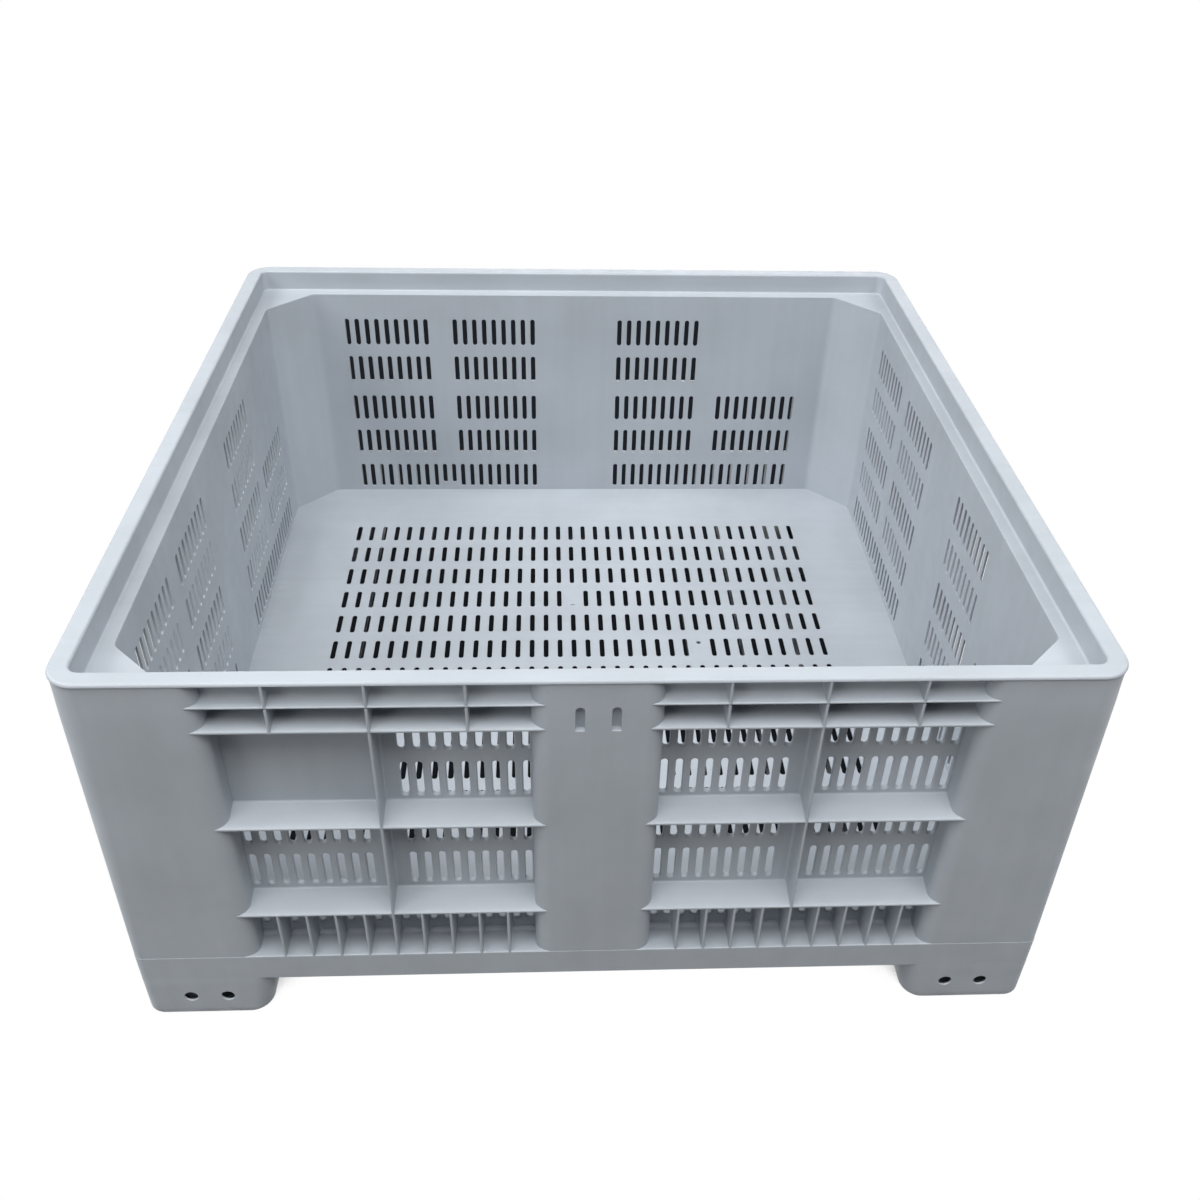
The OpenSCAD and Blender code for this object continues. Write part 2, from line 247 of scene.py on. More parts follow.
# Painted shade: a dark sheet just behind the rear wall, seen only through the slots from inside the bin
SHADE_SHEET_COLOUR = (0.012, 0.014, 0.018, 1)
SHADE_SHEET_REACH_MM = 450
SHADE_SHEET_LOW_MM = 1
SHADE_SHEET_GAP_MM = 0.5

# Camera fitted to the photograph: pixels, degrees and metres
PHOTO_SIZE = 1200
FOCAL = 1199.74
CENTRE_X = 607.47
CENTRE_Y = 641.46
PITCH, YAW, ROLL = 38.078, -3.479, -1.739
CAMERA_PLACE = (-0.05345, -1.59626, 1.43662)
SENSOR_MM = 36.0


def arc(centre, r, start, end, steps=ARC_STEPS):
    """Points on a circle from one angle to another, in degrees."""
    angles = np.radians(np.linspace(start, end, steps + 1))
    return [(centre[0] + r * math.cos(a), centre[1] + r * math.sin(a)) for a in angles]


def bend(start, corner, end, count):
    """Points on a soft curve from start to end, drawn towards corner."""
    start, corner, end = (np.array(p, dtype=float) for p in (start, corner, end))
    shares = np.linspace(0, 1, count)
    return [tuple((1 - t) ** 2 * start + 2 * t * (1 - t) * corner + t * t * end) for t in shares]


class Shape:
    """Vertices and faces, gathered before they become a mesh."""

    def __init__(self):
        self.verts, self.faces = [], []

    def add(self, verts, faces):
        base = len(self.verts)
        self.verts.extend(tuple(map(float, v)) for v in verts)
        self.faces.extend(tuple(base + i for i in f) for f in faces)
        return self

    def loft(self, loops, closed=False, capped=True):
        """Skin through closed loops of equal length.

        Closed joins the last loop to the first. Otherwise the two ends are capped.
        """
        n, m = len(loops), len(loops[0])
        verts = [p for loop in loops for p in loop]
        faces = []
        for i in range(n if closed else n - 1):
            a, b = i * m, (i + 1) % n * m
            faces += [(a + j, a + (j + 1) % m, b + (j + 1) % m, b + j) for j in range(m)]
        if capped and not closed:
            faces += [tuple(reversed(range(m))), tuple((n - 1) * m + j for j in range(m))]
        return self.add(verts, faces)

    def both_halves(self):
        """Adds the mirror image in x."""
        verts = [(-x, y, z) for x, y, z in self.verts]
        return self.add(verts, [tuple(reversed(f)) for f in list(self.faces)])


def prism(plan, z_low, z_high):
    """Loops of a plan outline at two heights."""
    return [[(x, y, z) for x, y in plan] for z in (z_low, z_high)]


def turned(verts, k):
    """Turns points by k quarter turns about the bin's upright axis."""
    c, s = ((1, 0), (0, 1), (-1, 0), (0, -1))[k]
    return [(c * x - s * y, s * x + c * y, z) for x, y, z in verts]


def on_side(verts, k):
    return turned([(x, y - HALF, z) for x, y, z in verts], k)


def at_corner(verts, c):
    return turned([(x - HALF, y - HALF, z) for x, y, z in verts], c)


def offset_loop(points, distance):
    """Moves a closed counter-clockwise outline outwards, each point along the middle of its two edges."""
    p = np.array(points)
    edges = np.roll(p, -1, axis=0) - p
    normals = np.column_stack((edges[:, 1], -edges[:, 0])) / np.linalg.norm(edges, axis=1)[:, None]
    before = np.roll(normals, 1, axis=0)
    middle = normals + before
    return p + distance * 2 * middle / np.sum(middle * middle, axis=1)[:, None]


def plate(outline, holes, low, high, r):
    """Plate with holes and rounded edges: outlines in x and y, thickness from low to high."""
    turns = np.radians((90, 45, 0))
    lower = [(r * (1 - math.cos(a)), low + r * (1 - math.sin(a))) for a in turns]
    upper = [(inset, low + high - z) for inset, z in reversed(lower)]
    shape = Shape()
    edges, points = [], []
    for i, loop in enumerate([outline, *holes]):
        side = 1 if i else -1
        rings = [[(x, y, z) for x, y in offset_loop(loop, side * inset)] for inset, z in lower + upper]
        shape.loft(rings, capped=False)
        first, count = len(points), len(loop)
        points += [(x, y) for x, y, _ in rings[0]]
        edges += [(first + j, first + (j + 1) % count) for j in range(count)]
    made = delaunay_2d_cdt(points, edges, [], 0, CDT_EPSILON)
    cap = [(p.x, p.y) for p in made[0]]
    outside = offset_loop(outline, -r)
    slots = [offset_loop(hole, r) for hole in holes]
    triangles = keep_inside(cap, made[2], outside, slots)
    for z, turn in ((low, -1), (high, 1)):
        shape.add([(x, y, z) for x, y in cap], [tuple(t)[::turn] for t in triangles])
    return shape.verts, shape.faces


def within(loop, points):
    """Which points lie inside a convex counter-clockwise loop."""
    start = np.array(loop)
    along = np.roll(start, -1, axis=0) - start
    away = points[:, None] - start[None]
    cross = along[:, 0] * away[:, :, 1] - along[:, 1] * away[:, :, 0]
    return np.all(cross > 0, axis=1)


def keep_inside(points, triangles, outline, holes):
    """Triangles whose middles lie inside a convex outline and outside every convex hole."""
    middles = np.array([np.mean([points[i] for i in t], axis=0) for t in triangles])
    kept = within(outline, middles)
    for hole in holes:
        low, high = np.min(hole, axis=0), np.max(hole, axis=0)
        near = np.nonzero(kept & np.all((middles > low) & (middles < high), axis=1))[0]
        kept[near[within(hole, middles[near])]] = False
    return [t for t, keep in zip(triangles, kept) if keep]


def stadium(x, y, w, length, steps=6):
    """Outline of an upright slot with round ends."""
    half, r = (length - w) / 2, w / 2
    return arc((x, y + half), r, 0, 180, steps) + arc((x, y - half), r, 180, 360, steps)


def octagon(grow, r):
    """Inside outline of the walls, moved outwards by grow, with its corners rounded by r."""
    a = HALF - WALL_SET + grow
    b = a - CORNER_CUT - grow * (2 - math.sqrt(2))
    corners = [(a, -b), (a, b), (b, a), (-b, a), (-a, b), (-a, -b), (-b, -a), (b, -a)]
    reach = r * math.tan(math.pi / len(corners))
    points = []
    for i, corner in enumerate(np.array(corners)):
        before, after = (np.array(corners[j % len(corners)]) - corner for j in (i - 1, i + 1))
        start = corner + before / np.linalg.norm(before) * reach
        end = corner + after / np.linalg.norm(after) * reach
        points += bend(start, corner, end, 6)
    return points


def ring(inset, corner_r, z):
    """Rounded square loop of the bin's outline, moved inwards by inset."""
    r = max(corner_r - inset, MIN_RING_R)
    a = HALF - inset - r
    loop = []
    for k, (sx, sy) in enumerate([(1, 1), (-1, 1), (-1, -1), (1, -1)]):
        loop += [(x, y, z) for x, y in arc((sx * a, sy * a), r, 90 * k, 90 * (k + 1))]
    return loop


def sweep(profile, corner_r):
    """Carries a closed profile of (inset, height) points round the bin."""
    return Shape().loft([ring(inset, corner_r, z) for inset, z in profile], closed=True)


def return_x(y):
    """How far the rounded return of a post or pillar reaches sideways at depth y."""
    rise = max(1 - y / RETURN_R, 0)
    return (RETURN_R + SOFT) * math.sqrt(1 - rise * rise) - SOFT


def return_curve(flat, front):
    """Rounded return at the end of a face of the given half width, from its face to its side."""
    r = RETURN_R - front
    centre = flat - SOFT
    return [(centre + (x - centre) * (r + SOFT) / r, y) for x, y in arc((centre, RETURN_R), r, -90, 0)]


def bay_bar(profile):
    """Carries a closed (y, z) profile across both bays of a side, between the rounded returns."""
    left = [(PILLAR_HALF + return_x(y) - BURY, y, z) for y, z in profile]
    right = [(HALF - POST_W - return_x(y) + BURY, y, z) for y, z in profile]
    return Shape().loft([left, right]).both_halves()


def shelf_profile(z, fall, depth=RECESS, fillet=FILLET_R, thick=RIB_T):
    """Cross-section of a flange or shelf: rounded nose, top that falls outwards, fillet at the wall."""
    top = z + thick
    front = NOSE_SET + EDGE_R
    nose = arc((front, z + EDGE_R), EDGE_R, 270, 180, 4) + arc((front, top - EDGE_R), EDGE_R, 180, 90, 4)
    fine_y = [RETURN_R * share for share in RETURN_SHARES]
    start = depth - fillet
    root = top + fall * start / depth
    under = [(y, z) for y in reversed(fine_y)]
    over = [(y, top + fall * y / depth) for y in fine_y if y < start]
    blend = arc((start, root + fillet), fillet, 270, 360, 8)
    return [(depth + LAP, z), *under, *nose, *over, *blend, (depth + LAP, root + fillet)]


def rib_plan(x, depth=RECESS):
    """Plan of an upright rib: rounded nose, slight draft, fillets at the wall."""
    thin, thick = RIB_T * RIB_NOSE_SHARE, RIB_T * RIB_ROOT_SHARE
    foot = thick + FILLET_R
    nose = arc((0, thin), thin, 0, -180, 6)
    right = arc((foot, depth - FILLET_R), FILLET_R, 90, 180, 4)
    left = arc((-foot, depth - FILLET_R), FILLET_R, 0, 90, 4)
    outline = [(foot, depth + LAP), *right, *nose, *left, (-foot, depth + LAP)]
    return [(x + px, py) for px, py in outline]


def bay_ribs(spacing, z_low, z_high, depth=RECESS):
    """Upright ribs in both bays of a side, spaced as TOP_RIBS and LOW_RIBS say."""
    step, reach = spacing
    ribs = Shape()
    for i in range(-reach, reach + 1):
        ribs.loft(prism(rib_plan(BAY_MID + 2 * SLOT_PITCH * i * step, depth), z_low, z_high))
    return ribs.both_halves()


def draft_slots(verts, cells, narrow, wide, grow):
    """Widens slots from the depth narrow to the depth wide.

    A cell is (u, v, length, 1 if its lower end widens too).
    """
    centres = np.array([(u, v) for u, v, _, _ in cells])
    lengths = np.array([length for _, _, length, _ in cells])
    drafted = []
    for u, v, depth in verts:
        gap = np.abs(centres - (u, v))
        near = np.nonzero((gap[:, 0] < SLOT_W / 2 + LAP) & (gap[:, 1] < lengths / 2 + LAP))[0]
        if len(near):
            middle_u, middle_v, length, both_ends = cells[near[0]]
            share = (depth - narrow) / (wide - narrow)
            u += (u - middle_u) * grow[0] / SLOT_W * share
            if both_ends or v > middle_v:
                v += (v - middle_v) * grow[1] / length * share
        drafted.append((u, v, depth))
    return drafted


def slot_cells(mirrored):
    """Wall slots of one half: (x, z, length, 1 if the lower end widens too)."""
    cells = []
    middle = (SLOT_COLS - 1) / 2
    for i in range(SLOT_COLS):
        x = BAY_MID + (i - middle) * SLOT_PITCH
        in_middle = abs(i - middle) < 1
        short = in_middle and not mirrored
        length = SHORT_SLOT_LEN if short else LOW_SLOT_LEN
        cells.append((x, LOW_ROW + (LOW_SLOT_LEN - length) / 2, length, 0))
        if in_middle:
            continue
        rows = MID_ROWS + (() if mirrored and i > middle else HIGH_ROWS)
        cells += [(x, z, SLOT_LEN, 1) for z in rows]
    return [(-x, *rest) for x, *rest in cells] if mirrored else cells


def panel_shape():
    """Slotted wall: the slots widen towards the outside."""
    half = HALF - WALL_SET - CORNER_CUT
    low, high = FLOOR_Z - DECK_LAP, LEDGE_Z + LAP
    outline = [(-half, low), (half, low), (half, high), (-half, high)]
    cells = slot_cells(False) + slot_cells(True)
    holes = [stadium(x, z, SLOT_W, length) for x, z, length, _ in cells]
    verts, faces = plate(outline, holes, RECESS, WALL_SET, SLOT_EDGE_R)
    verts = draft_slots(verts, cells, WALL_SET, RECESS, WALL_DRAFT)
    return Shape().add([(x, y, z) for x, z, y in verts], faces)


def flange_shape():
    """Upper flange and its short ribs up to the ledge."""
    shape = bay_bar(shelf_profile(FLANGE_Z, SHELF_FALL, fillet=FLANGE_COVE_R))
    ribs = bay_ribs(TOP_RIBS, FLANGE_Z + LAP, LEDGE_Z + LAP)
    return shape.add(ribs.verts, ribs.faces)


def shelf_shape():
    return bay_bar(shelf_profile(MID_SHELF_Z, SHELF_FALL))


def ribs_shape():
    """Upright ribs in the middle of the bays, from shelf to shelf."""
    shape = Shape()
    for low, high in ((LOW_SHELF_Z, MID_SHELF_Z), (MID_SHELF_Z, FLANGE_Z)):
        shape.loft(prism(rib_plan(BAY_MID), low + RIB_T / 2, high + RIB_T / 2))
    return shape.both_halves()


def grille_shape():
    """Lower shelf and its row of ribs down to the base."""
    shape = bay_bar(shelf_profile(LOW_SHELF_Z, SHELF_FALL))
    ribs = bay_ribs(LOW_RIBS, BASE_TOP - LAP, LOW_SHELF_Z + RIB_T / 2)
    return shape.add(ribs.verts, ribs.faces)


def face_set(z):
    """How far a post's or pillar's face stands back: it leans in a little under the rim."""
    share = min(max((z - LEAN_FROM) / LEAN_RISE, 0), 1)
    return FACE_SET + LEAN * share * share * (3 - 2 * share)


def back_depth(z):
    """Depth that a post or pillar reaches: the whole recess under the ledge, the lip's width above it."""
    return RECESS - POST_GAP if z <= LEDGE_Z else LIP_W - POST_LIP_GAP


def pillar_plan(z):
    front, back = face_set(z), back_depth(z)
    right = return_curve(PILLAR_HALF, front)
    left = [(-x, y) for x, y in reversed(right)]
    side = right[-1][0]
    return [(-side, back), *left, *right, (side, back)]


def pillar_shape():
    return Shape().loft([[(x, y, z) for x, y in pillar_plan(z)] for z in POST_LEVELS])


def corner_radius(z):
    """Outer corner radius of a post, which grows from the base to the rim."""
    share = (z - BASE_TOP) / (LEDGE_TOP - BASE_TOP)
    return BASE_CORNER_R + (RIM_CORNER_R - BASE_CORNER_R) * min(max(share, 0), 1)


def post_plan(z):
    front, back, r = face_set(z), back_depth(z), corner_radius(z)
    face_end = return_curve(POST_W, front)
    end = face_end[-1][0]
    corner = arc((r, r), r - front, 270, 180)
    other_end = [(y, x) for x, y in face_end]
    return [(end, back), *reversed(face_end), *corner, *other_end, (back, end), (back, back)]


def post_shape():
    return Shape().loft([[(x, y, z) for x, y in post_plan(z)] for z in POST_LEVELS])


def web_shape():
    """Panel across an inside corner, which runs softly into the two walls."""
    edge = WALL_SET + CORNER_CUT
    slope = WEB_BEND / math.sqrt(2)
    inner = bend((edge + WEB_BEND, WALL_SET), (edge, WALL_SET), (edge - slope, WALL_SET + slope), 9)
    inner += [(y, x) for x, y in reversed(inner)]
    inner = [(x + WEB_LIFT * (y > WALL_SET), y + WEB_LIFT * (x > WALL_SET)) for x, y in inner]
    rear, far, near = RECESS + LAP, edge + WEB_BEND, edge - WEB_SET
    back = [(rear, far), (rear, near), (near, rear), (far, rear)]
    return Shape().loft(prism([*inner, *back], FLOOR_Z - DECK_LAP, LEDGE_Z + LAP))


def foot_plan(z, inset):
    """Plan of a foot at height z, moved inwards by inset."""
    drop = max(FOOT_R - max(z, inset), 0)
    r = FOOT_R - inset
    low = inset + r - math.sqrt(max(r * r - min(drop, r) ** 2, 0))
    high = FOOT_W - FOOT_SLOPE * (BASE_LOW - z) / BASE_LOW - low
    outer = BASE_CORNER_R - inset / 2
    inner = FOOT_INNER_R - inset
    return [
        *arc((low + outer, low + outer), outer, 180, 270, FOOT_STEPS),
        *arc((high - inner, low + inner), inner, 270, 360, FOOT_STEPS),
        *arc((high - inner, high - inner), inner, 0, 90, FOOT_STEPS),
        *arc((low + inner, high - inner), inner, 90, 180, FOOT_STEPS),
    ]


def foot_rise(low, step):
    """Heights up the rounded lower edge of a foot, from low."""
    return [low + (FOOT_R - low) * (1 - math.cos(math.radians(a))) for a in range(0, 91, step)]


def foot_shape():
    """Hollow foot, open towards the base, with rounded lower edges."""
    levels = [(z, 0.0) for z in foot_rise(0, 10)] + list(FOOT_LEVELS)
    levels += [(z, FOOT_T) for z in reversed([*foot_rise(FOOT_T, 15), *FOOT_INNER_LEVELS])]
    return Shape().loft([[(x, y, z) for x, y in foot_plan(z, inset)] for z, inset in levels])


def hole_cutter(x):
    """Round cutter through a foot's wall, flared at its mouth and wider behind."""
    loops = []
    for y, grow in HOLE_FLARE:
        circle = arc((x, HOLE_Z), HOLE_R + grow, 0, 360, HOLE_STEPS)[:-1]
        loops.append([(px, y, pz) for px, pz in circle])
    return loops


def label_cutter(x):
    """Cutter for a label pocket: round top, square foot, flared mouth."""
    loops = []
    for y, grow in LABEL_FLARE:
        w, low, high = LABEL_HALF_W + grow, LABEL_LOW - grow, LABEL_HIGH + grow
        outline = [(x - w, low), (x + w, low), *arc((x, high - w), w, 0, 180)]
        loops.append([(px, y, pz) for px, pz in outline])
    return loops


def rim_shape():
    """Raised lip: flat top with rounded edges over an upright web, and short ribs over each bay."""
    low = LEDGE_TOP - LAP
    profile = [
        *arc((LIP_OUTER_R, BIN_H - LIP_OUTER_R), LIP_OUTER_R, 180, 90, 5),
        *arc((LIP_W - LIP_INNER_R, BIN_H - LIP_INNER_R), LIP_INNER_R, 90, 0, 5),
        *arc((LIP_FOOT, LEDGE_TOP + LIP_FOOT_R), LIP_FOOT_R, 180, 270, 4),
        (LIP_FOOT, low), (LIP_WEB, low), *LIP_UNDER_EDGE,
    ]
    shape = sweep(profile, RIM_CORNER_R)
    ribs = bay_ribs(TOP_RIBS, low, LIP_UNDER + LAP, LIP_RIB_DEPTH)
    for k in range(len(SIDES)):
        shape.add(on_side(ribs.verts, k), ribs.faces)
    return shape


def ledge_shape():
    """Level ledge inside the lip, and its front edges in the bays."""
    outline = [(x, y) for x, y, _ in ring(LEDGE_INSET, RIM_CORNER_R, 0)]
    shape = Shape().add(*plate(outline, [octagon(0, LEDGE_CORNER_R)], LEDGE_Z, LEDGE_TOP, LEDGE_EDGE_R))
    bar = bay_bar(shelf_profile(LEDGE_NOSE_Z, 0, LIP_WEB, LEDGE_COVE_R, LEDGE_NOSE_T))
    for k in range(len(SIDES)):
        shape.add(on_side(bar.verts, k), bar.faces)
    return shape


def floor_cell(col, row):
    """Middle of a floor slot, counted from the rear left."""
    x = (col - (FLOOR_COLS - 1) / 2) * FLOOR_PITCH_X
    return x, ((FLOOR_ROWS - 1) / 2 - row) * FLOOR_PITCH_Y - FLOOR_SHIFT


def deck_shape():
    """Slotted floor: the slots widen downwards, and two places have a gate mark and a pin hole instead."""
    holes, cells = [], []
    for col in range(FLOOR_COLS):
        for row in range(FLOOR_ROWS):
            x, y = floor_cell(col, row)
            if (col, row) == PIN_CELL:
                holes.append(arc((x, y + PIN_SHIFT), PIN_R, 0, 360, 12)[:-1])
            elif (col, row) == GATE_CELL:
                holes.append([(x + b, y - GATE_SHIFT - a) for a, b in stadium(0, 0, GATE_W, GATE_LEN)])
            else:
                holes.append(stadium(x, y, SLOT_W, FLOOR_SLOT_LEN))
                cells.append((x, y, FLOOR_SLOT_LEN, 1))
    verts, faces = plate(octagon(DECK_LAP, DECK_CORNER_R), holes, DECK_Z, FLOOR_Z, SLOT_EDGE_R)
    return Shape().add(draft_slots(verts, cells, FLOOR_Z, DECK_Z, FLOOR_DRAFT), faces)


def base_shape():
    """Skirt, its flange, the upstand below the walls and the plates over the feet."""
    wall = RECESS + UPSTAND_GAP
    cove_top = BASE_TOP + BASE_COVE_R
    under = BASE_TOP - BASE_FLANGE_T
    profile = [
        *arc((EDGE_R, BASE_TOP - EDGE_R), EDGE_R, 180, 90, 3),
        *arc((wall - BASE_COVE_R, cove_top), BASE_COVE_R, 270, 360),
        (wall + LAP, cove_top), (wall + LAP, DECK_Z), (WALL_SET, DECK_Z), (WALL_SET, under),
        (SKIRT_T, under), (SKIRT_T, BASE_LOW + SKIRT_INNER_R + LAP),
        *arc((SKIRT_T - SKIRT_INNER_R, BASE_LOW + SKIRT_INNER_R), SKIRT_INNER_R, 0, -90, 3),
        *arc((SKIRT_OUTER_R, BASE_LOW + SKIRT_OUTER_R), SKIRT_OUTER_R, 270, 180, 3),
    ]
    shape = sweep(profile, BASE_CORNER_R)
    square = [(COVER_SET, COVER_SET), (FOOT_W, COVER_SET), (FOOT_W, FOOT_W), (COVER_SET, FOOT_W)]
    cover = Shape().loft(prism(square, COVER_LOW, COVER_HIGH))
    for c in range(len(CORNERS)):
        shape.add(at_corner(cover.verts, c), cover.faces)
    return shape


def mesh_object(name, verts, faces):
    """Mesh object in metres, with welded points and outward normals."""
    mesh = bpy.data.meshes.new(name)
    mesh.from_pydata([(x * MM, y * MM, z * MM) for x, y, z in verts], [], faces)
    work = bmesh.new()
    work.from_mesh(mesh)
    bmesh.ops.remove_doubles(work, verts=work.verts, dist=WELD_M)
    bmesh.ops.recalc_face_normals(work, faces=work.faces)
    work.to_mesh(mesh)
    work.free()
    obj = bpy.data.objects.new(name, mesh)
    bpy.context.scene.collection.objects.link(obj)
    return obj


def cut(obj, verts, faces):
    """Takes a closed shape out of an object."""
    cutter = mesh_object("cutter", verts, faces)
    modifier = obj.modifiers.new("cut", "BOOLEAN")
    modifier.object, modifier.operation, modifier.solver = cutter, "DIFFERENCE", "EXACT"
    modifier.use_self = True
    old = obj.data
    obj.data = bpy.data.meshes.new_from_object(obj.evaluated_get(bpy.context.evaluated_depsgraph_get()))
    obj.modifiers.clear()
    bpy.data.meshes.remove(old)
    old = cutter.data
    bpy.data.objects.remove(cutter)
    bpy.data.meshes.remove(old)


def finish_piece(obj, node, slot):
    """Shades a piece, puts it on the frame and gives it its finish."""
    obj.data.shade_smooth()
    obj.data.set_sharp_from_angle(angle=math.radians(SHARP_ANGLE))
    modifier = obj.modifiers.new("flat faces", "WEIGHTED_NORMAL")
    modifier.keep_sharp = True
    modifier.weight = FLAT_WEIGHT
    obj.data.materials.clear()
    obj.data.materials.append(materials[slot])
    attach(obj, "root")
    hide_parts(node)


def node_tree(owner):
    """Emptied nodes and links of a material or world."""
    owner.use_nodes = True
    owner.node_tree.nodes.clear()
    return owner.node_tree.nodes, owner.node_tree.links


def feed(links, source, socket):
    """Links a socket to its source, or sets it where the source is a plain value."""
    if isinstance(source, bpy.types.NodeSocket):
        links.new(source, socket)
    else:
        socket.default_value = source


def math_node(nodes, links, kind, *sources):
    node = nodes.new("ShaderNodeMath")
    node.operation = kind
    for source, socket in zip(sources, node.inputs):
        feed(links, source, socket)
    return node.outputs[0]


def mix_shaders(nodes, links, factor, first, second, output):
    """Gives the output the first shader where factor is 0 and the second where it is 1."""
    both = nodes.new("ShaderNodeMixShader")
    for source, socket in zip((factor, first.outputs[0], second.outputs[0]), both.inputs):
        links.new(source, socket)
    links.new(both.outputs[0], output.inputs["Surface"])


def plastic(name, streak_scale):
    """Satin moulded plastic: mottled colour, flow streaks, specks, pale rubbed lines and a fine grain."""
    material = bpy.data.materials.new(name)
    nodes, links = node_tree(material)
    output = nodes.new("ShaderNodeOutputMaterial")
    shader = nodes.new("ShaderNodeBsdfPrincipled")
    shader.inputs["IOR"].default_value = 1.5
    place = nodes.new("ShaderNodeTexCoord")

    def noise(scale, detail, stretch=None):
        texture = nodes.new("ShaderNodeTexNoise")
        texture.inputs["Scale"].default_value = scale
        texture.inputs["Detail"].default_value = detail
        source = place.outputs["Object"]
        if stretch:
            mapping = nodes.new("ShaderNodeMapping")
            mapping.inputs["Scale"].default_value = stretch
            links.new(source, mapping.inputs["Vector"])
            source = mapping.outputs["Vector"]
        links.new(source, texture.inputs["Vector"])
        return texture.outputs["Fac"]

    def ramp(value, *stops):
        """Grey ramp with two stops of (position, level)."""
        node = nodes.new("ShaderNodeValToRGB")
        for element, (position, level) in zip(node.color_ramp.elements, stops):
            element.position, element.color = position, (level, level, level, 1)
        links.new(value, node.inputs["Fac"])
        return node.outputs["Color"]

    def mixed(kind, factor, a, b):
        """Mix of colours. A Mix node's sockets share their names, so the enabled ones are taken."""
        node = nodes.new("ShaderNodeMix")
        node.data_type, node.blend_type = "RGBA", kind
        sockets = [s for s in node.inputs if s.enabled]
        for source, socket in zip((factor, a, b), sockets):
            feed(links, source, socket)
        return next(s for s in node.outputs if s.enabled)

    def bump(height, strength, distance):
        node = nodes.new("ShaderNodeBump")
        node.inputs["Strength"].default_value = strength
        node.inputs["Distance"].default_value = distance
        links.new(height, node.inputs["Height"])
        return node

    mottle = ramp(noise(scale=7, detail=5), (0.3, 0.94), (0.7, 1.05))
    streaks = ramp(noise(scale=1, detail=6, stretch=streak_scale), (0.3, 0.975), (0.72, 1.025))
    specks = ramp(noise(scale=420, detail=1), (0.2, 0.72), (0.28, 1.0))
    tone = mixed("MULTIPLY", 1.0, mixed("MULTIPLY", 1.0, (*PLASTIC, 1), mottle), streaks)
    tone = mixed("MULTIPLY", 0.6, tone, specks)
    rubbed = ramp(noise(scale=1, detail=3, stretch=RUB_STREAKS), (0.68, 0.0), (0.78, 1.0))
    rubbed = mixed("MULTIPLY", 1.0, rubbed, (0.22, 0.22, 0.22, 1))
    pale = (*[min(c * PALE_GAIN, 1) for c in PLASTIC], 1)
    links.new(mixed("MIX", rubbed, tone, pale), shader.inputs["Base Color"])
    links.new(ramp(noise(scale=38, detail=6), (0.3, 0.42), (0.7, 0.6)), shader.inputs["Roughness"])
    grain = bump(noise(scale=650, detail=2), strength=0.35, distance=0.0002)
    wave = bump(noise(scale=9, detail=2), strength=0.5, distance=0.002)
    links.new(wave.outputs["Normal"], grain.inputs["Normal"])
    links.new(grain.outputs["Normal"], shader.inputs["Normal"])
    links.new(shader.outputs["BSDF"], output.inputs["Surface"])
    return material


def seen_directly(nodes, links):
    """1 for camera, glossy and transmission rays, which see the white surroundings."""
    path = nodes.new("ShaderNodeLightPath")
    total = path.outputs["Is Camera Ray"]
    for name in ("Is Glossy Ray", "Is Transmission Ray"):
        total = math_node(nodes, links, "MAXIMUM", total, path.outputs[name])
    return total


def make_world():
    """Soft light from above that fades towards the horizon; the surroundings look white."""
    world = bpy.data.worlds.new("soft sky")
    bpy.context.scene.world = world
    nodes, links = node_tree(world)
    output = nodes.new("ShaderNodeOutputWorld")
    place = nodes.new("ShaderNodeTexCoord")
    split = nodes.new("ShaderNodeSeparateXYZ")
    links.new(place.outputs["Generated"], split.inputs[0])
    level = math_node(nodes, links, "MAXIMUM", split.outputs["Z"], 0.0)
    sky = nodes.new("ShaderNodeBackground")
    sky.inputs["Color"].default_value = SKY_COLOUR
    links.new(math_node(nodes, links, "MULTIPLY", level, SKY_STRENGTH), sky.inputs["Strength"])
    white = nodes.new("ShaderNodeBackground")
    white.inputs["Color"].default_value = WHITE
    mix_shaders(nodes, links, seen_directly(nodes, links), sky, white, output)


